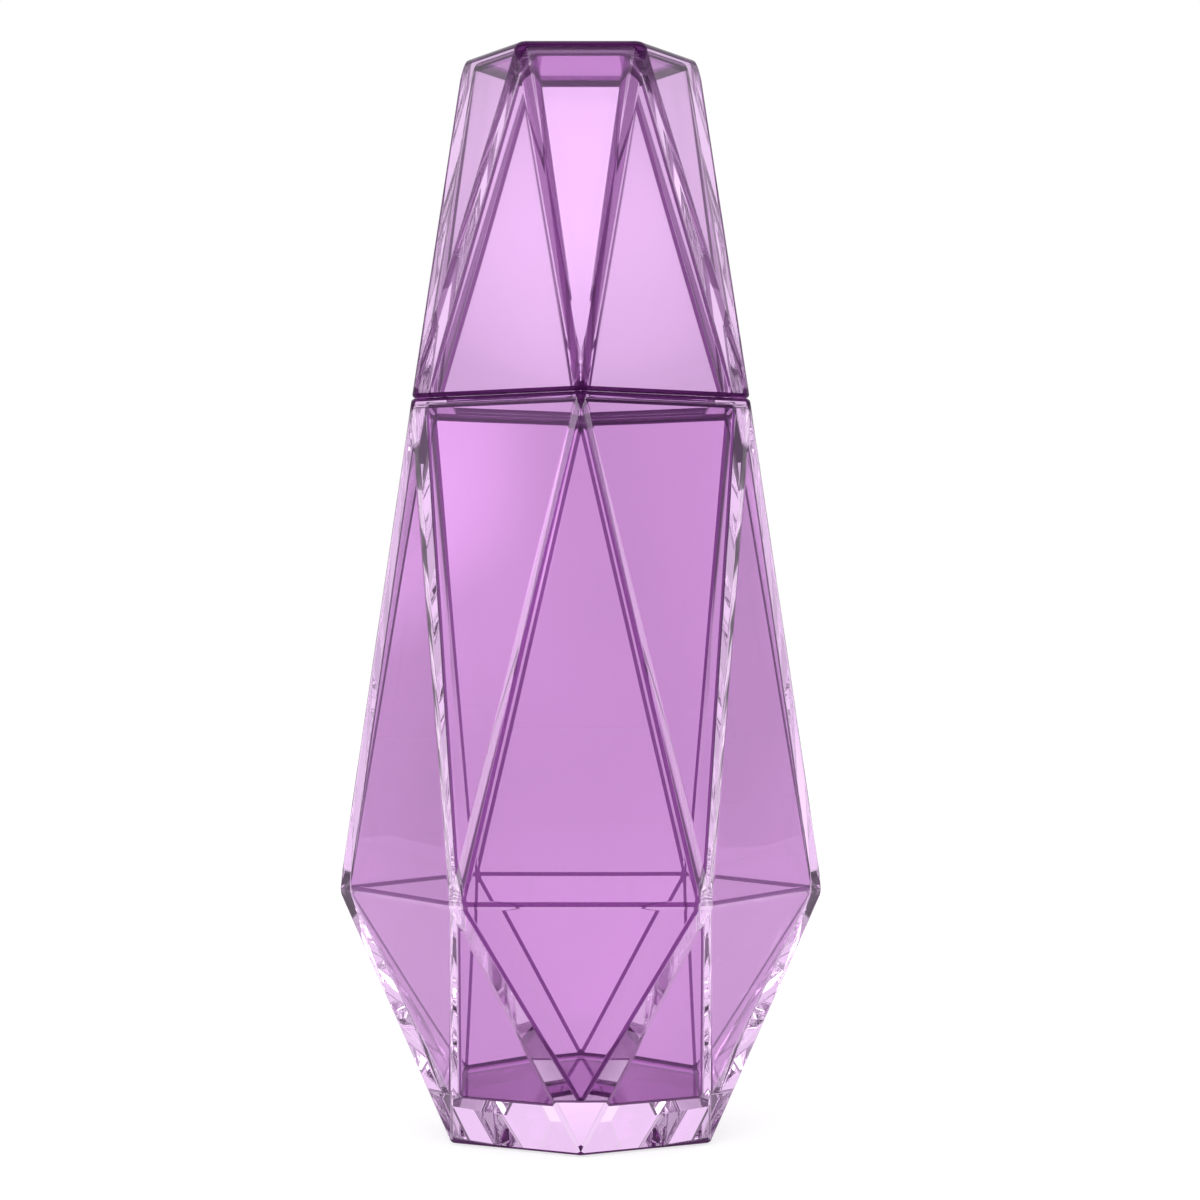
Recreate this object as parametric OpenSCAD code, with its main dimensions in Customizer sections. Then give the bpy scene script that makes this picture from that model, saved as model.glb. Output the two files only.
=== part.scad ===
// Faceted bedside carafe with an upturned tumbler that stands on its shoulder as the lid.
// Both pieces are six-sided. From each level to the next the hexagon turns by half a side,
// so every wall between two levels is a ring of twelve triangles.

/* [Carafe] */
// Height of the carafe, from its base to the flat top of its shoulder
carafe_height = 169.2; // [120:0.4:240]
// Height of the widest level over the base
belly_height = 56.3; // [36:0.1:80]
// Radius to the corners of the base hexagon
base_radius = 34.0; // [26:0.1:42]
// Radius to the corners of the hexagon at the widest level
belly_radius = 56.4; // [48:0.1:70]
// Radius to the corners of the shoulder hexagon, which the tumbler's rim matches
shoulder_radius = 44.2; // [38:0.1:52]
// Thickness of the carafe's wall, square to its facets
carafe_wall = 4.4; // [3:0.1:7]
// Thickness of the solid glass under the cavity
base_thickness = 12.2; // [6:0.1:20]
// Radius to the corners of the cavity's floor
floor_radius = 29.8; // [22:0.1:34]

/* [Mouth of the carafe] */
// Radius to the corners of the mouth, inside the lip
mouth_radius = 32.8; // [26:0.1:37]
// Thickness of the lip that reaches inward at the shoulder
lip_thickness = 1.6; // [1:0.1:4]
// Radius of the rounded corners of the mouth
mouth_corner_radius = 0.6; // [0.3:0.1:2]

/* [Tumbler] */
// Height of the tumbler, from its rim to its foot
tumbler_height = 80.8; // [60:0.2:110]
// Radius to the corners of the tumbler's foot, its top as it stands on the carafe
foot_radius = 27.5; // [22:0.1:34]
// Thickness of the tumbler's wall, square to its facets
tumbler_wall = 4.4; // [3:0.1:6]
// Thickness of the glass at the tumbler's foot
foot_thickness = 2.3; // [1.6:0.1:10]
// Radius to the corners of the tumbler's cavity under its foot
cup_floor_radius = 21.5; // [16:0.1:24]
// Height and width of the bevel inside the tumbler's rim
rim_bevel = 0.6; // [0.3:0.1:1.4]

/* [Rounded edges] */
// Rounding at the widest level of the carafe
belly_rounding = 3.4; // [1:0.1:5]
// Rounding along the edge of the base
base_rounding = 0.8; // [0.4:0.1:2]
// Rounding along the edge of the shoulder
shoulder_rounding = 1.3; // [0.6:0.1:2]
// Rounding at the widest level of the cavity
cavity_rounding = 3.2; // [1:0.1:4]
// Rounding round the floor of the cavity
floor_rounding = 1.6; // [0.8:0.1:4]
// Rounding under the lip
lip_rounding = 1.0; // [0.4:0.1:2]
// Rounding along the outside of the tumbler's rim
rim_rounding = 2.2; // [0.8:0.1:3]
// Rounding along the edge of the tumbler's foot
foot_rounding = 2.0; // [0.8:0.1:4]
// Rounding in the corners of the tumbler's cavity, under its foot
cup_floor_rounding = 1.6; // [0.6:0.1:4]
// Rounding in the corners of the tumbler's cavity, at its rim
cup_rim_rounding = 2.4; // [0.6:0.1:4]

/* [Hidden] */
// How far a cut runs past the face it opens
overrun = 1.0;
// Corners of each level, and the turn from one level to the next
corner_count = 6;
side_angle = 360 / corner_count;
half_side = side_angle / 2;
// Middle of a side, as a share of the radius to a corner
flat_share = cos(half_side);
// Segments round a rounded corner
ball_segments = 32;
// Levels of the part in the shared frame
shoulder_level = carafe_height;
foot_level = carafe_height + tumbler_height;
// Levels of the cavity's floor, of its top under the lip, and of the tumbler's cavity
cavity_floor_level = base_thickness;
cavity_top_level = carafe_height - lip_thickness;
cup_floor_level = foot_level - foot_thickness;
glass_colour = [0.78, 0.52, 0.84, 0.55];
tumbler_colour = [0.84, 0.62, 0.89, 0.55];

// A facet between two levels, in its own upright plane: its side lies on the level
// (side_r, side_z) and its tip on the level (tip_r, tip_z). Returns the facet's outward
// direction and its distance from the origin.
function facet(side_r, side_z, tip_r, tip_z) =
    let (
        dr = tip_r - side_r * flat_share,
        dz = tip_z - side_z,
        run = norm([dr, dz]),
        turn = dz > 0 ? 1 : -1,
        nr = dz * turn / run,
        nz = -dr * turn / run
    )
    [nr, nz, nr * side_r * flat_share + nz * side_z];

// Radius where a facet, moved inward by depth, meets the height z
function reach(f, depth, z) = (f[2] - depth - f[1] * z) / f[0];

// Radius to the corner of a level at height z, moved inward by depth, held by the two
// kinds of facet that meet there: one with its side on this level and one with its tip
function corner_reach(side_facet, tip_facet, depth, z) =
    min(reach(side_facet, depth, z) / flat_share, reach(tip_facet, depth, z));

// Where two facets meet once both have moved inward by depth
function crossing(f, g, depth) =
    let (det = f[0] * g[1] - f[1] * g[0])
    [
        ((f[2] - depth) * g[1] - f[1] * (g[2] - depth)) / det,
        (f[0] * (g[2] - depth) - (f[2] - depth) * g[0]) / det
    ];

// Facets of the carafe over and under its widest level
over_side = facet(belly_radius, belly_height, shoulder_radius, shoulder_level);
over_tip = facet(shoulder_radius, shoulder_level, belly_radius, belly_height);
under_side = facet(belly_radius, belly_height, base_radius, 0);
under_tip = facet(base_radius, 0, belly_radius, belly_height);

// The widest level moved inward: the mean of its sides' and its corners' crossings
function belly_inset(depth) =
    let (
        side = crossing(over_side, under_side, depth),
        tip = crossing(over_tip, under_tip, depth)
    )
    [(side[0] / flat_share + tip[0]) / 2, (side[1] + tip[1]) / 2];

// Facets of the tumbler
cup_side = facet(shoulder_radius, shoulder_level, foot_radius, foot_level);
cup_tip = facet(foot_radius, foot_level, shoulder_radius, shoulder_level);

// The cavity's widest level and its corners under the lip
cavity_belly = belly_inset(carafe_wall);
cavity_top_radius = corner_reach(over_tip, over_side, carafe_wall, cavity_top_level);
cup_rim_radius = corner_reach(cup_side, cup_tip, tumbler_wall, shoulder_level);

// Facets of the two cavities
in_over_side = facet(cavity_belly[0], cavity_belly[1], cavity_top_radius, cavity_top_level);
in_over_tip = facet(cavity_top_radius, cavity_top_level, cavity_belly[0], cavity_belly[1]);
in_under_side = facet(cavity_belly[0], cavity_belly[1], floor_radius, cavity_floor_level);
in_under_tip = facet(floor_radius, cavity_floor_level, cavity_belly[0], cavity_belly[1]);
in_cup_side = facet(cup_rim_radius, shoulder_level, cup_floor_radius, cup_floor_level);
in_cup_tip = facet(cup_floor_radius, cup_floor_level, cup_rim_radius, shoulder_level);

function cavity_belly_inset(depth) =
    let (
        side = crossing(in_over_side, in_under_side, depth),
        tip = crossing(in_over_tip, in_under_tip, depth)
    )
    [(side[0] / flat_share + tip[0]) / 2, (side[1] + tip[1]) / 2];

// A ball with true poles, so that the rounded bodies end exactly at their levels
module ball(radius) {
    rotate_extrude($fn = ball_segments)
        intersection() {
            circle(r = radius, $fn = ball_segments);
            translate([0, -radius]) square([radius, radius * 2]);
        }
}

// One ball at each corner of a level
module ring_of_balls(corner_radius, height, ball_radius, turn) {
    for (i = [0 : corner_count - 1])
        rotate([0, 0, turn + i * side_angle])
            translate([corner_radius, 0, height])
                ball(ball_radius);
}

// Upright hexagon with lightly rounded corners
module hexagon_bar(corner_radius, rounding, low, high) {
    translate([0, 0, low])
        linear_extrude(height = high - low)
            hull()
                for (i = [0 : corner_count - 1])
                    rotate([0, 0, half_side + i * side_angle])
                        translate([corner_radius - rounding / flat_share, 0])
                            circle(r = rounding, $fn = ball_segments);
}

module carafe_outside() {
    base_z = base_rounding;
    base_r = corner_reach(under_tip, under_side, base_rounding, base_z);
    belly = belly_inset(belly_rounding);
    top_z = shoulder_level - shoulder_rounding;
    top_r = corner_reach(over_tip, over_side, shoulder_rounding, top_z);
    hull() {
        ring_of_balls(base_r, base_z, base_rounding, half_side);
        ring_of_balls(belly[0], belly[1], belly_rounding, 0);
        ring_of_balls(top_r, top_z, shoulder_rounding, half_side);
    }
}

module carafe_cavity() {
    floor_z = cavity_floor_level + floor_rounding;
    floor_r = corner_reach(in_under_tip, in_under_side, floor_rounding, floor_z);
    belly = cavity_belly_inset(cavity_rounding);
    top_z = cavity_top_level - lip_rounding;
    top_r = corner_reach(in_over_tip, in_over_side, lip_rounding, top_z);
    hull() {
        ring_of_balls(floor_r, floor_z, floor_rounding, half_side);
        ring_of_balls(belly[0], belly[1], cavity_rounding, 0);
        ring_of_balls(top_r, top_z, lip_rounding, half_side);
    }
}

module carafe() {
    color(glass_colour)
        difference() {
            carafe_outside();
            carafe_cavity();
            hexagon_bar(mouth_radius, mouth_corner_radius,
                cavity_top_level - overrun, shoulder_level + overrun);
        }
}

module tumbler_outside() {
    rim_z = shoulder_level + rim_rounding;
    rim_r = corner_reach(cup_side, cup_tip, rim_rounding, rim_z);
    foot_z = foot_level - foot_rounding;
    foot_r = corner_reach(cup_tip, cup_side, foot_rounding, foot_z);
    hull() {
        ring_of_balls(rim_r, rim_z, rim_rounding, half_side);
        ring_of_balls(foot_r, foot_z, foot_rounding, 0);
    }
}

module tumbler_cavity() {
    // The lower ring lies under the rim, so that the cavity runs out through it
    open_z = shoulder_level - cup_rim_rounding;
    open_r = corner_reach(in_cup_side, in_cup_tip, cup_rim_rounding, open_z);
    top_z = cup_floor_level - cup_floor_rounding;
    top_r = corner_reach(in_cup_tip, in_cup_side, cup_floor_rounding, top_z);
    hull() {
        ring_of_balls(open_r, open_z, cup_rim_rounding, half_side);
        ring_of_balls(top_r, top_z, cup_floor_rounding, 0);
    }
}

// Bevel round the inside of the tumbler's rim
module tumbler_rim_bevel() {
    rotate([0, 0, half_side])
        translate([0, 0, shoulder_level - rim_bevel])
            cylinder(r1 = cup_rim_radius + rim_bevel, r2 = cup_rim_radius - rim_bevel,
                h = rim_bevel * 3, $fn = corner_count);
}

module tumbler() {
    color(tumbler_colour)
        difference() {
            tumbler_outside();
            tumbler_cavity();
            tumbler_rim_bevel();
        }
}

carafe();
tumbler();
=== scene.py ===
import math

import bmesh
import bpy
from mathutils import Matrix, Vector


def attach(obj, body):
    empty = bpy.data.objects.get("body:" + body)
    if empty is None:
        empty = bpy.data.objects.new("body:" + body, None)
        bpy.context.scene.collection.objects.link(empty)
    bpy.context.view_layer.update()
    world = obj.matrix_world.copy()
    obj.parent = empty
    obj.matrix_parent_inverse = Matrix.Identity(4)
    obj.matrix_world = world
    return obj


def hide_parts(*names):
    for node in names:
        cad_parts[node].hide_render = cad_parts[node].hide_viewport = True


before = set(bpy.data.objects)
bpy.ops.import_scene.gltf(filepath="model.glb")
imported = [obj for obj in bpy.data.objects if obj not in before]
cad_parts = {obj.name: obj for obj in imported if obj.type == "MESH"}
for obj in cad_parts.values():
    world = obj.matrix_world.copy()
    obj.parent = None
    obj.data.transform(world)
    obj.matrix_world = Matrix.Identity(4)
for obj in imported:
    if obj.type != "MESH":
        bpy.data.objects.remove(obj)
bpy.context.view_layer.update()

# Sizes of the object, as in the CAD, in millimetres. A radius runs to a hexagon's corner.
MM = 0.001
CARAFE_HEIGHT = 169.2
BELLY_HEIGHT = 56.3
BASE_RADIUS = 34.0
BELLY_RADIUS = 56.4
SHOULDER_RADIUS = 44.2
CARAFE_WALL = 4.4
BASE_THICKNESS = 12.2
FLOOR_RADIUS = 29.8
MOUTH_RADIUS = 32.8
LIP_THICKNESS = 1.6
TUMBLER_HEIGHT = 80.8
FOOT_RADIUS = 27.5
TUMBLER_WALL = 4.4
FOOT_THICKNESS = 2.3
CUP_FLOOR_RADIUS = 21.5
# The tumbler's rim is drawn this far over the shoulder, so that two faces don't share a plane
JOINT_GAP = 0.14

# A hexagon has a corner at every side angle, and turns by half of it from level to level
CORNERS = 6
SIDE_ANGLE = 360 / CORNERS
HALF_SIDE = SIDE_ANGLE / 2
FLAT_SHARE = math.cos(math.radians(HALF_SIDE))

# Levels, or rings, of the two solids
BASE, BELLY, SHOULDER, MOUTH_TOP, MOUTH_LOW, CAVITY_TOP, CAVITY_BELLY, CAVITY_FLOOR = range(8)
RIM, FOOT, CUP_RIM, CUP_FLOOR = range(4)

# Width of the rounding on the edges between two rings, or along one ring
CARAFE_WIDTHS = {
    (BASE, BASE): 0.7,
    (BASE, BELLY): 0.5,
    (BELLY, BELLY): 0.5,
    (BELLY, SHOULDER): 1.1,
    (SHOULDER, SHOULDER): 0.8,
    (MOUTH_TOP, MOUTH_TOP): 0.4,
    (MOUTH_TOP, MOUTH_LOW): 0.2,
    (MOUTH_LOW, MOUTH_LOW): 0.4,
    (CAVITY_TOP, CAVITY_TOP): 0.9,
    (CAVITY_TOP, CAVITY_BELLY): 0.7,
    (CAVITY_BELLY, CAVITY_BELLY): 0.7,
    (CAVITY_BELLY, CAVITY_FLOOR): 0.7,
    (CAVITY_FLOOR, CAVITY_FLOOR): 0.7,
}
TUMBLER_WIDTHS = {
    (RIM, RIM): 1.0,
    (RIM, FOOT): 1.5,
    (FOOT, FOOT): 1.8,
    (CUP_RIM, CUP_RIM): 0.7,
    (CUP_RIM, CUP_FLOOR): 0.9,
    (CUP_FLOOR, CUP_FLOOR): 1.4,
}
ROUNDING_STEPS = 6
ROUND_PROFILE = 0.5
FACET_WEIGHT = 100

# Roundings this near to one of these rings, in height, get the darkest painted shade lines
CARAFE_PAINTED_SHADE_RINGS = (BASE, SHOULDER, MOUTH_TOP, MOUTH_LOW, CAVITY_TOP, CAVITY_FLOOR)
TUMBLER_PAINTED_SHADE_RINGS = (RIM, FOOT, CUP_RIM, CUP_FLOOR)
PAINTED_SHADE_REACH = 2.2
# A face counts as a facet where the cosine of its angle to the nearest facet is higher
FACET_COSINE = math.cos(math.radians(5))
# Kinds of face, which are also the places of their materials. The roundings' materials are painted
# light: painted shade lines on the inside roundings, the tumbler's outside roundings and the darkest
# lines, and a painted highlight on the carafe's outside roundings.
OUTSIDE, INSIDE, INSIDE_LINE, OUTSIDE_LINE, DARKEST_PAINTED_SHADE, LEVEL_FACET = range(6)

# Glass. Clouds in its colour and low waves make the inside slightly uneven, as pressed glass is.
REFRACTION = 1.49
CLOUD_SCALE = 16.0
CLOUD_DETAIL = 1.0
WAVE_SCALE = 34.0
WAVE_DETAIL = 0.0
WAVE_STRENGTH = 1.0
WAVE_HEIGHT = 0.06 * MM
# Tints of the weak reflections, which keep the painted shade lines from going grey
WHITE = (1, 1, 1)
VIOLET = (0.55, 0.2, 0.6)
PALE_VIOLET = (0.65, 0.4, 0.7)

# Floor, in metres. Its own light is for the camera, through glass, and in reflections, and falls
# off to the sides: (start, end, level at the start, level at the end).
FLOOR_HALF = 4.0
FLOOR_DROP = 0.4 * MM
FLOOR_GREY = 0.42
FLOOR_WHITE = 0.7
FLOOR_THROUGH = 0.65
FLOOR_MIRRORED = 0.15
FLOOR_SIDES = (0.4, 0.9, 1.0, 0.55)

# Lamps: name, size, strength, azimuth, elevation, distance, and the height that they aim at
LAMP_CENTRE = 0.12
LAMPS = (
    ("softbox_top", (0.42, 0.40), 2.0, 0, 34, 1.2, 0.2),
    ("softbox_left", (0.95, 0.9), 2.6, -32, 14, 1.2, 0.12),
    ("softbox_right", (0.6, 0.8), 1.6, 36, 14, 1.2, 0.12),
)

# World, in degrees. A patch of it is (azimuth, elevation, radius, radius of its full part, level).
# The whole room is plain, with a darker ceiling and dimmer gaps.
PLAIN = 0.85
CEILING_START = 24
CEILING_FULL = 48
CEILING = 0.6
GAPS = ((-116, 8, 22, 8, 0.4), (116, 8, 22, 8, 0.4), (62, 8, 22, 8, 0.5))
# Dark flags to the left and right behind the object, by the angle from the middle plane:
# start, full from, full to, end, level. The wide ones are seen through the glass, and the
# narrow ones in its reflections.
SIDE_FLAGS_THROUGH = (15, 21, 66, 78, 0.18)
SIDE_FLAGS_MIRRORED = (15, 21, 32, 42, 0.12)
# They are full up to the first elevation and end at the second. Towards the sides they fade
# where the cosine of the angle from straight back is less than the third value.
SIDE_FLAGS_FULL = 14
SIDE_FLAGS_TOP = 24
SIDE_FLAGS_BACK_COSINE = 0.3
# Patches that are seen through the glass, and dark and light ones in its reflections
BACKLIGHTS = ((180, 8.8, 3.4, 0.5, 0.32), (-176.2, 3.2, 3.3, 0.8, 0.38))
FLAGS = ((-163, 8, 16.5, 6, 0.15), (163, 8, 16.5, 6, 0.15))
PANELS = (
    (-74, 30, 20, 6, 0.8),
    (-60, 18, 14, 2, 0.5),
    (76, 32, 20, 6, 0.6),
    (0, 38, 20, 11, 1.2),
)

# Camera, found from the photo. Lengths are in the photo's pixels at the object's middle.
PIXEL = 0.2333 * MM
IMAGE_SIZE = 1200
CAMERA_DISTANCE = 3038.0
CAMERA_HEIGHT = 493.9
HORIZON_ROW = 637.2
AXIS_COLUMN = 580.75
SENSOR = 36
CLIP_START = 0.01

# Light bounces many times in thick glass before it leaves
BOUNCES = 48
CLEAR_BOUNCES = 32


def sind(angle):
    return math.sin(math.radians(angle))


def cosd(angle):
    return math.cos(math.radians(angle))


def facet(side_r, side_z, tip_r, tip_z):
    """A facet in its own upright plane, from a side on one level to a tip on another.
    Returns its outward direction and its distance from the origin."""
    dr = tip_r - side_r * FLAT_SHARE
    dz = tip_z - side_z
    run = math.hypot(dr, dz)
    turn = 1 if dz > 0 else -1
    nr = dz * turn / run
    nz = -dr * turn / run
    return nr, nz, nr * side_r * FLAT_SHARE + nz * side_z


def reach(f, depth, z):
    """Radius where a facet, moved inward by depth, meets the height z."""
    return (f[2] - depth - f[1] * z) / f[0]


def corner_reach(side_facet, tip_facet, depth, z):
    """Radius to a level's corner, moved inward by depth, between the two kinds of facet there."""
    return min(reach(side_facet, depth, z) / FLAT_SHARE, reach(tip_facet, depth, z))


def crossing(f, g, depth):
    """Radius and height where two facets meet once both have moved inward by depth."""
    det = f[0] * g[1] - f[1] * g[0]
    radius = ((f[2] - depth) * g[1] - f[1] * (g[2] - depth)) / det
    height = (f[0] * (g[2] - depth) - (f[2] - depth) * g[0]) / det
    return radius, height


class Solid:
    """Corners and faces of a faceted solid that is made of hexagon rings."""

    def __init__(self):
        self.verts = []
        self.faces = []
        self.inner = []
        self.rings = []

    def ring(self, radius, z, turned):
        start = len(self.verts)
        for i in range(CORNERS):
            angle = (HALF_SIDE if turned else 0) + SIDE_ANGLE * i
            self.verts.append((radius * cosd(angle), radius * sind(angle), z))
        ids = list(range(start, start + CORNERS))
        self.rings.append(ids)
        return ids

    def face(self, ids, inner=False):
        self.faces.append(tuple(ids))
        self.inner.append(inner)

    def zigzag(self, a, b, a_turned, inner=False):
        """Twelve triangles between rings a and b, of which a_turned says that a is the turned one."""
        for i in range(CORNERS):
            j = (i + 1) % CORNERS
            if a_turned:
                self.face((a[i], b[j], b[i]), inner)
                self.face((a[i], a[j], b[j]), inner)
            else:
                self.face((a[i], a[j], b[i]), inner)
                self.face((a[j], b[j], b[i]), inner)

    def band(self, a, b):
        """Six flat quads between rings a and b, which are turned alike."""
        for i in range(CORNERS):
            j = (i + 1) % CORNERS
            self.face((a[i], a[j], b[j], b[i]))


def carafe_solid():
    over_side = facet(BELLY_RADIUS, BELLY_HEIGHT, SHOULDER_RADIUS, CARAFE_HEIGHT)
    over_tip = facet(SHOULDER_RADIUS, CARAFE_HEIGHT, BELLY_RADIUS, BELLY_HEIGHT)
    under_side = facet(BELLY_RADIUS, BELLY_HEIGHT, BASE_RADIUS, 0)
    under_tip = facet(BASE_RADIUS, 0, BELLY_RADIUS, BELLY_HEIGHT)
    side = crossing(over_side, under_side, CARAFE_WALL)
    tip = crossing(over_tip, under_tip, CARAFE_WALL)
    cavity_belly_radius = (side[0] / FLAT_SHARE + tip[0]) / 2
    cavity_belly_height = (side[1] + tip[1]) / 2
    cavity_top_height = CARAFE_HEIGHT - LIP_THICKNESS
    cavity_top_radius = corner_reach(over_tip, over_side, CARAFE_WALL, cavity_top_height)

    solid = Solid()
    base = solid.ring(BASE_RADIUS, 0, True)
    belly = solid.ring(BELLY_RADIUS, BELLY_HEIGHT, False)
    shoulder = solid.ring(SHOULDER_RADIUS, CARAFE_HEIGHT, True)
    mouth_top = solid.ring(MOUTH_RADIUS, CARAFE_HEIGHT, True)
    mouth_low = solid.ring(MOUTH_RADIUS, cavity_top_height, True)
    cavity_top = solid.ring(cavity_top_radius, cavity_top_height, True)
    cavity_belly = solid.ring(cavity_belly_radius, cavity_belly_height, False)
    cavity_floor = solid.ring(FLOOR_RADIUS, BASE_THICKNESS, True)
    solid.face(base[::-1])
    solid.zigzag(base, belly, True)
    solid.zigzag(belly, shoulder, False)
    solid.band(shoulder, mouth_top)
    solid.band(mouth_top, mouth_low)
    solid.band(mouth_low, cavity_top)
    solid.zigzag(cavity_belly, cavity_top, False, inner=True)
    solid.zigzag(cavity_floor, cavity_belly, True, inner=True)
    solid.face(cavity_floor, inner=True)
    return solid


def tumbler_solid():
    foot_height = CARAFE_HEIGHT + TUMBLER_HEIGHT
    rim_height = CARAFE_HEIGHT + JOINT_GAP
    cup_side = facet(SHOULDER_RADIUS, CARAFE_HEIGHT, FOOT_RADIUS, foot_height)
    cup_tip = facet(FOOT_RADIUS, foot_height, SHOULDER_RADIUS, CARAFE_HEIGHT)
    cup_rim_radius = corner_reach(cup_side, cup_tip, TUMBLER_WALL, CARAFE_HEIGHT)

    solid = Solid()
    rim = solid.ring(SHOULDER_RADIUS, rim_height, True)
    foot = solid.ring(FOOT_RADIUS, foot_height, False)
    cup_rim = solid.ring(cup_rim_radius, rim_height, True)
    cup_floor = solid.ring(CUP_FLOOR_RADIUS, foot_height - FOOT_THICKNESS, False)
    solid.zigzag(rim, foot, True)
    solid.face(foot)
    solid.band(rim[::-1], cup_rim[::-1])
    solid.zigzag(cup_rim, cup_floor, True, inner=True)
    solid.face(cup_floor[::-1], inner=True)
    return solid


def mark_edges(mesh, solid, widths):
    """Gives each edge its share of the widest rounding, and each face its side of the wall.
    Returns the directions of the facets on each side."""
    ring_of = {i: number for number, ids in enumerate(solid.rings) for i in ids}
    directions = {OUTSIDE: [], INSIDE: []}
    widest = max(widths.values())
    work = bmesh.new()
    work.from_mesh(mesh)
    bmesh.ops.recalc_face_normals(work, faces=work.faces)
    work.faces.ensure_lookup_table()
    for face in work.faces:
        face.material_index = INSIDE if solid.inner[face.index] else OUTSIDE
        directions[face.material_index].append(face.normal.copy())
    weight = work.edges.layers.float.new("bevel_weight_edge")
    for edge in work.edges:
        rings = tuple(sorted(ring_of[v.index] for v in edge.verts))
        edge[weight] = widths.get(rings, 0.0) / widest
    work.to_mesh(mesh)
    work.free()
    return directions


def round_edges(ob, widest):
    """Applies a bevel to the object's mesh, as wide as its edges' weights say."""
    bevel = ob.modifiers.new("rounding", "BEVEL")
    bevel.limit_method = "WEIGHT"
    bevel.width = widest * MM
    bevel.offset_type = "OFFSET"
    bevel.segments = ROUNDING_STEPS
    bevel.profile = ROUND_PROFILE
    bevel.miter_outer = "MITER_SHARP"
    bevel.use_clamp_overlap = False
    bevel.material = -1
    depsgraph = bpy.context.evaluated_depsgraph_get()
    rounded = bpy.data.meshes.new_from_object(ob.evaluated_get(depsgraph), depsgraph=depsgraph)
    ob.modifiers.clear()
    ob.data = rounded
    rounded.name = ob.name


def sort_faces(mesh, solid, directions, painted_shade_rings):
    """Tells roundings and level facets from the other facets, and gives each its kind."""
    painted_shade_levels = [solid.verts[solid.rings[ring][0]][2] for ring in painted_shade_rings]
    work = bmesh.new()
    work.from_mesh(mesh)
    for face in work.faces:
        nearest = max(face.normal.dot(d) for d in directions[face.material_index])
        height = face.calc_center_median().z / MM
        if nearest >= FACET_COSINE:
            if abs(face.normal.z) > FACET_COSINE:
                face.material_index = LEVEL_FACET
        elif min(abs(height - level) for level in painted_shade_levels) < PAINTED_SHADE_REACH:
            face.material_index = DARKEST_PAINTED_SHADE
        else:
            face.material_index = INSIDE_LINE if face.material_index == INSIDE else OUTSIDE_LINE
        face.smooth = True
    work.to_mesh(mesh)
    work.free()


def build(name, solid, widths, painted_shade_rings, materials):
    """Makes a rounded glass piece. The materials are in the order of the kinds of face."""
    mesh = bpy.data.meshes.new(name)
    mesh.from_pydata([Vector(v) * MM for v in solid.verts], [], solid.faces)
    mesh.update()
    directions = mark_edges(mesh, solid, widths)
    ob = bpy.data.objects.new(name, mesh)
    bpy.context.scene.collection.objects.link(ob)
    round_edges(ob, max(widths.values()))
    sort_faces(ob.data, solid, directions, painted_shade_rings)
    for material in materials:
        ob.data.materials.append(material)
    # Facets keep their own normals, and the roundings run between them
    shading = ob.modifiers.new("facets", "WEIGHTED_NORMAL")
    shading.mode = "FACE_AREA"
    shading.weight = FACET_WEIGHT
    shading.keep_sharp = False
    return ob


class Graph:
    """Makes nodes in one node tree. A value is a number or another node's output."""

    def __init__(self, tree):
        self.nodes = tree.nodes
        self.links = tree.links
        self.nodes.clear()

    def feed(self, socket, value):
        if isinstance(value, (int, float)):
            socket.default_value = value
        else:
            self.links.new(value, socket)

    def math(self, operation, *values):
        node = self.nodes.new("ShaderNodeMath")
        node.operation = operation
        for socket, value in zip(node.inputs, values):
            self.feed(socket, value)
        return node.outputs[0]

    def slope(self, value, start, end, low, high):
        """Runs smoothly from low at start to high at end."""
        node = self.nodes.new("ShaderNodeMapRange")
        node.interpolation_type = "SMOOTHSTEP"
        for key, number in zip(("From Min", "From Max", "To Min", "To Max"), (start, end, low, high)):
            node.inputs[key].default_value = number
        self.feed(node.inputs["Value"], value)
        return node.outputs[0]

    def choose(self, switch, off, on):
        """off where the switch is 0, on where it is 1."""
        node = self.nodes.new("ShaderNodeMix")
        node.data_type = "FLOAT"
        self.feed(node.inputs["Factor"], switch)
        self.feed(node.inputs["A"], off)
        self.feed(node.inputs["B"], on)
        return node.outputs["Result"]

    def noise(self, place, scale, detail):
        node = self.nodes.new("ShaderNodeTexNoise")
        node.inputs["Scale"].default_value = scale
        node.inputs["Detail"].default_value = detail
        self.links.new(place, node.inputs["Vector"])
        return node.outputs["Fac"]


def new_material(name):
    material = bpy.data.materials.new(name)
    material.use_nodes = True
    return material, Graph(material.node_tree)


def make_uneven(graph, shader, colour, drift):
    """Clouds, up to drift lighter or darker than the colour, and low waves on the surface."""
    place = graph.nodes.new("ShaderNodeTexCoord").outputs["Object"]
    tone = graph.nodes.new("ShaderNodeMix")
    tone.data_type = "RGBA"
    tone.inputs["A"].default_value = (*(c * (1 - drift) for c in colour), 1)
    tone.inputs["B"].default_value = (*(min(c * (1 + drift), 1) for c in colour), 1)
    graph.feed(tone.inputs["Factor"], graph.noise(place, CLOUD_SCALE, CLOUD_DETAIL))
    graph.feed(shader.inputs["Base Color"], tone.outputs["Result"])
    bump = graph.nodes.new("ShaderNodeBump")
    bump.inputs["Strength"].default_value = WAVE_STRENGTH
    bump.inputs["Distance"].default_value = WAVE_HEIGHT
    graph.feed(bump.inputs["Height"], graph.noise(place, WAVE_SCALE, WAVE_DETAIL))
    graph.feed(shader.inputs["Normal"], bump.outputs["Normal"])


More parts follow.
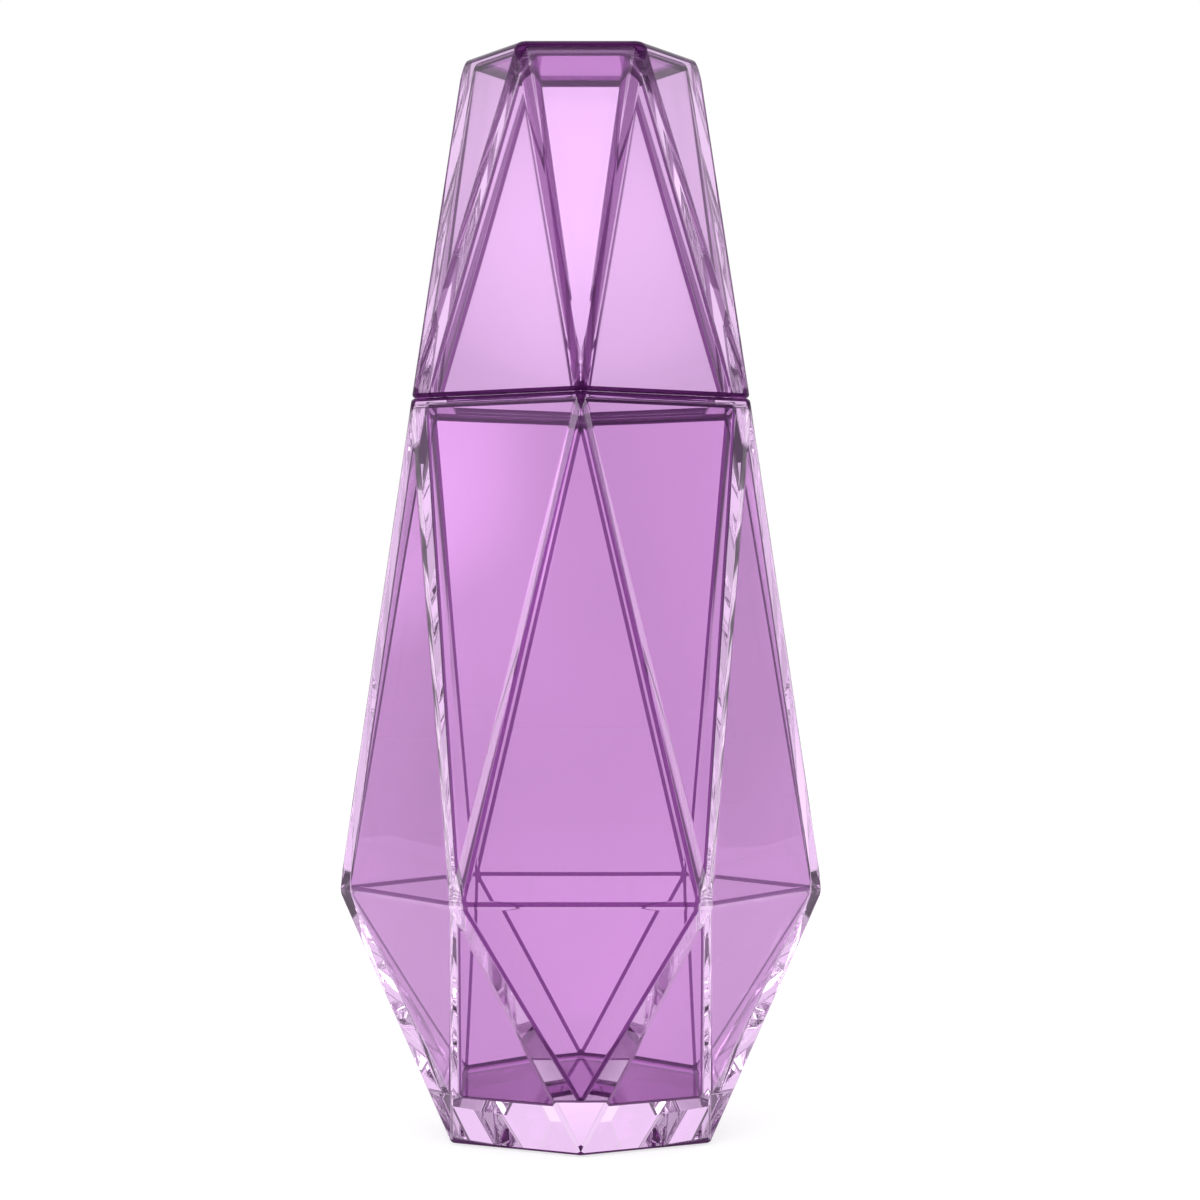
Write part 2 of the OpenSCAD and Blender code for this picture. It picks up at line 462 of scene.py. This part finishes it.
def glass(name, colour, clearness=1.0, shine=0.5, gloss=WHITE, drift=0.0):
    """Tinted glass: clearness is how much light goes through, gloss the tint of reflections."""
    material, graph = new_material(name)
    output = graph.nodes.new("ShaderNodeOutputMaterial")
    shader = graph.nodes.new("ShaderNodeBsdfPrincipled")
    shader.inputs["Base Color"].default_value = (*colour, 1)
    shader.inputs["Roughness"].default_value = 0.0
    shader.inputs["IOR"].default_value = REFRACTION
    shader.inputs["Specular IOR Level"].default_value = shine
    shader.inputs["Specular Tint"].default_value = (*gloss, 1)
    shader.inputs["Transmission Weight"].default_value = clearness
    graph.feed(output.inputs["Surface"], shader.outputs[0])
    if drift:
        make_uneven(graph, shader, colour, drift)
    return material


def make_pieces():
    outside = glass("glass_outside", (0.89, 0.60, 0.95), gloss=PALE_VIOLET)
    # Lighter than the outside glass: a painted highlight along the carafe's outer roundings, on top
    # of the real reflections in them
    painted_highlight_line = glass("glass_painted_highlight", (0.92, 0.70, 0.95), clearness=0.95)
    # Nearly black and half opaque: the darkest painted shade, on the roundings near the listed rings
    painted_shade_line = glass("painted_shade_line", (0.04, 0.003, 0.05), clearness=0.4, shine=0.1, gloss=VIOLET)
    carafe_in = glass("carafe_inside", (0.67, 0.46, 0.69), gloss=PALE_VIOLET, drift=0.22)
    # Dark and partly opaque: painted shade along the carafe's inner roundings
    carafe_painted_shade = glass("carafe_painted_shade", (0.12, 0.02, 0.145), clearness=0.65, gloss=VIOLET)
    floor_glass = glass("floor_glass", (0.28, 0.07, 0.30), shine=0.3, gloss=VIOLET)
    tumbler_in = glass("tumbler_inside", (0.715, 0.62, 0.73), gloss=PALE_VIOLET, drift=0.2)
    # Dark and partly opaque: painted shade along the tumbler's inner roundings
    tumbler_painted_shade = glass(
        "tumbler_painted_shade", (0.13, 0.028, 0.15), clearness=0.65, shine=0.3, gloss=VIOLET
    )
    # Dark: painted shade along the tumbler's outer roundings, which also makes its dark silhouette
    # strips
    tumbler_edge_painted_shade = glass("tumbler_edge_painted_shade", (0.25, 0.10, 0.28), clearness=0.85, gloss=VIOLET)
    foot_glass = glass("foot_glass", (0.42, 0.14, 0.46), shine=0.2, gloss=VIOLET)
    carafe = build(
        "carafe_glass", carafe_solid(), CARAFE_WIDTHS, CARAFE_PAINTED_SHADE_RINGS,
        (outside, carafe_in, carafe_painted_shade, painted_highlight_line, painted_shade_line, floor_glass),
    )
    tumbler = build(
        "tumbler_glass", tumbler_solid(), TUMBLER_WIDTHS, TUMBLER_PAINTED_SHADE_RINGS,
        (outside, tumbler_in, tumbler_painted_shade, tumbler_edge_painted_shade, painted_shade_line, foot_glass),
    )
    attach(carafe, "carafe")
    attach(tumbler, "tumbler")
    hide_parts("carafe")
    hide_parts("tumbler")


def floor_light(graph):
    """The floor's own light: white for the camera, and less through glass and in reflections,
    where it also falls off to the left and right."""
    rays = graph.nodes.new("ShaderNodeLightPath").outputs
    place = graph.nodes.new("ShaderNodeTexCoord").outputs["Object"]
    parts = graph.nodes.new("ShaderNodeSeparateXYZ")
    graph.feed(parts.inputs[0], place)
    aside = graph.slope(graph.math("ABSOLUTE", parts.outputs["X"]), *FLOOR_SIDES)
    # A ray through clear glass counts as a glossy ray too
    extra = FLOOR_THROUGH - FLOOR_MIRRORED
    mirrored = graph.math("MULTIPLY", rays["Is Glossy Ray"], FLOOR_MIRRORED)
    through = graph.math("MULTIPLY_ADD", rays["Is Transmission Ray"], extra, mirrored)
    in_glass = graph.math("MULTIPLY", through, aside)
    return graph.math("MULTIPLY_ADD", rays["Is Camera Ray"], FLOOR_WHITE, in_glass)


def make_floor():
    h = FLOOR_HALF
    mesh = bpy.data.meshes.new("floor")
    mesh.from_pydata([(-h, -h, 0), (h, -h, 0), (h, h, 0), (-h, h, 0)], [], [(0, 1, 2, 3)])
    ob = bpy.data.objects.new("floor", mesh)
    bpy.context.scene.collection.objects.link(ob)
    ob.location.z = -FLOOR_DROP
    material, graph = new_material("floor")
    output = graph.nodes.new("ShaderNodeOutputMaterial")
    diffuse = graph.nodes.new("ShaderNodeBsdfDiffuse")
    diffuse.inputs["Color"].default_value = (FLOOR_GREY, FLOOR_GREY, FLOOR_GREY, 1)
    emission = graph.nodes.new("ShaderNodeEmission")
    graph.feed(emission.inputs["Strength"], floor_light(graph))
    both = graph.nodes.new("ShaderNodeAddShader")
    graph.feed(both.inputs[0], diffuse.outputs[0])
    graph.feed(both.inputs[1], emission.outputs[0])
    graph.feed(output.inputs["Surface"], both.outputs[0])
    mesh.materials.append(material)


def aim(azimuth, elevation):
    """A direction from the object. Azimuth 0 is the camera's side, and it grows to the right."""
    return Vector((
        sind(azimuth) * cosd(elevation),
        -cosd(azimuth) * cosd(elevation),
        sind(elevation),
    ))


def make_lamp(name, size, strength, azimuth, elevation, distance, target_height):
    """An area lamp whose surface has the given strength, where 1 is white."""
    data = bpy.data.lights.new(name, "AREA")
    data.shape = "RECTANGLE"
    data.size, data.size_y = size
    data.energy = strength * math.pi * size[0] * size[1]
    ob = bpy.data.objects.new(name, data)
    bpy.context.scene.collection.objects.link(ob)
    place = aim(azimuth, elevation) * distance + Vector((0, 0, LAMP_CENTRE))
    ob.location = place
    ob.rotation_euler = (Vector((0, 0, target_height)) - place).to_track_quat("-Z", "Y").to_euler()
    ob.visible_camera = False


def make_world():
    world = bpy.data.worlds.new("studio")
    bpy.context.scene.world = world
    world.use_nodes = True
    graph = Graph(world.node_tree)
    output = graph.nodes.new("ShaderNodeOutputWorld")
    sky = graph.nodes.new("ShaderNodeBackground")
    sky.inputs["Color"].default_value = (*WHITE, 1)
    graph.feed(output.inputs["Surface"], sky.outputs[0])
    direction = graph.nodes.new("ShaderNodeTexCoord").outputs["Generated"]
    rays = graph.nodes.new("ShaderNodeLightPath").outputs

    def towards(vector):
        """How far a ray runs along the vector: the cosine of the angle between them."""
        node = graph.nodes.new("ShaderNodeVectorMath")
        node.operation = "DOT_PRODUCT"
        node.inputs[1].default_value = vector
        graph.feed(node.inputs[0], direction)
        return node.outputs["Value"]

    def lay(operation, light, patches, outside_level):
        """Multiplies the light by patches, or adds them to it."""
        for azimuth, elevation, radius, full_radius, level in patches:
            cosine = towards(aim(azimuth, elevation))
            patch = graph.slope(cosine, cosd(radius), cosd(full_radius), outside_level, level)
            light = graph.math(operation, light, patch)
        return light

    up = towards((0, 0, 1))
    side = graph.math("ABSOLUTE", towards((1, 0, 0)))
    back = graph.slope(towards((0, 1, 0)), 0.0, SIDE_FLAGS_BACK_COSINE, 0.0, 1.0)
    low = graph.slope(up, sind(SIDE_FLAGS_FULL), sind(SIDE_FLAGS_TOP), 1.0, 0.0)
    low_back = graph.math("MULTIPLY", back, low)

    def side_flags(start, full_from, full_to, end, level):
        """A factor for the light: 1, and the given level on the flags."""
        near_edge = graph.slope(side, sind(start), sind(full_from), 0.0, 1.0)
        far_edge = graph.slope(side, sind(full_to), sind(end), 1.0, 0.0)
        flag = graph.math("MULTIPLY", graph.math("MULTIPLY", near_edge, far_edge), low_back)
        return graph.math("MULTIPLY_ADD", flag, level - 1, 1.0)

    room = graph.slope(up, sind(CEILING_START), sind(CEILING_FULL), 1.0, CEILING)
    room = lay("MULTIPLY", room, GAPS, 1.0)
    through = graph.math("MULTIPLY", room, side_flags(*SIDE_FLAGS_THROUGH))
    through = lay("ADD", through, BACKLIGHTS, 0.0)
    mirrored = graph.math("MULTIPLY", room, side_flags(*SIDE_FLAGS_MIRRORED))
    mirrored = lay("MULTIPLY", mirrored, FLAGS, 1.0)
    mirrored = lay("ADD", mirrored, PANELS, 0.0)
    light = graph.choose(rays["Is Transmission Ray"], mirrored, through)
    light = graph.choose(rays["Is Glossy Ray"], PLAIN, light)
    light = graph.choose(rays["Is Camera Ray"], light, 1.0)
    graph.feed(sky.inputs["Strength"], light)


def make_camera():
    data = bpy.data.cameras.new("camera")
    ob = bpy.data.objects.new("camera", data)
    bpy.context.scene.collection.objects.link(ob)
    ob.location = (0, -CAMERA_DISTANCE * PIXEL, CAMERA_HEIGHT * PIXEL)
    ob.rotation_euler = (math.radians(90), 0, 0)
    data.sensor_width = SENSOR
    data.lens = SENSOR * CAMERA_DISTANCE / IMAGE_SIZE
    data.shift_x = (IMAGE_SIZE / 2 - AXIS_COLUMN) / IMAGE_SIZE
    data.shift_y = (HORIZON_ROW - IMAGE_SIZE / 2) / IMAGE_SIZE
    data.clip_start = CLIP_START
    bpy.context.scene.camera = ob


make_pieces()
make_floor()
for lamp in LAMPS:
    make_lamp(*lamp)
make_world()
make_camera()

scene = bpy.context.scene
scene.view_settings.view_transform = "Standard"
scene.cycles.max_bounces = BOUNCES
scene.cycles.transmission_bounces = BOUNCES
scene.cycles.glossy_bounces = BOUNCES
scene.cycles.transparent_max_bounces = CLEAR_BOUNCES
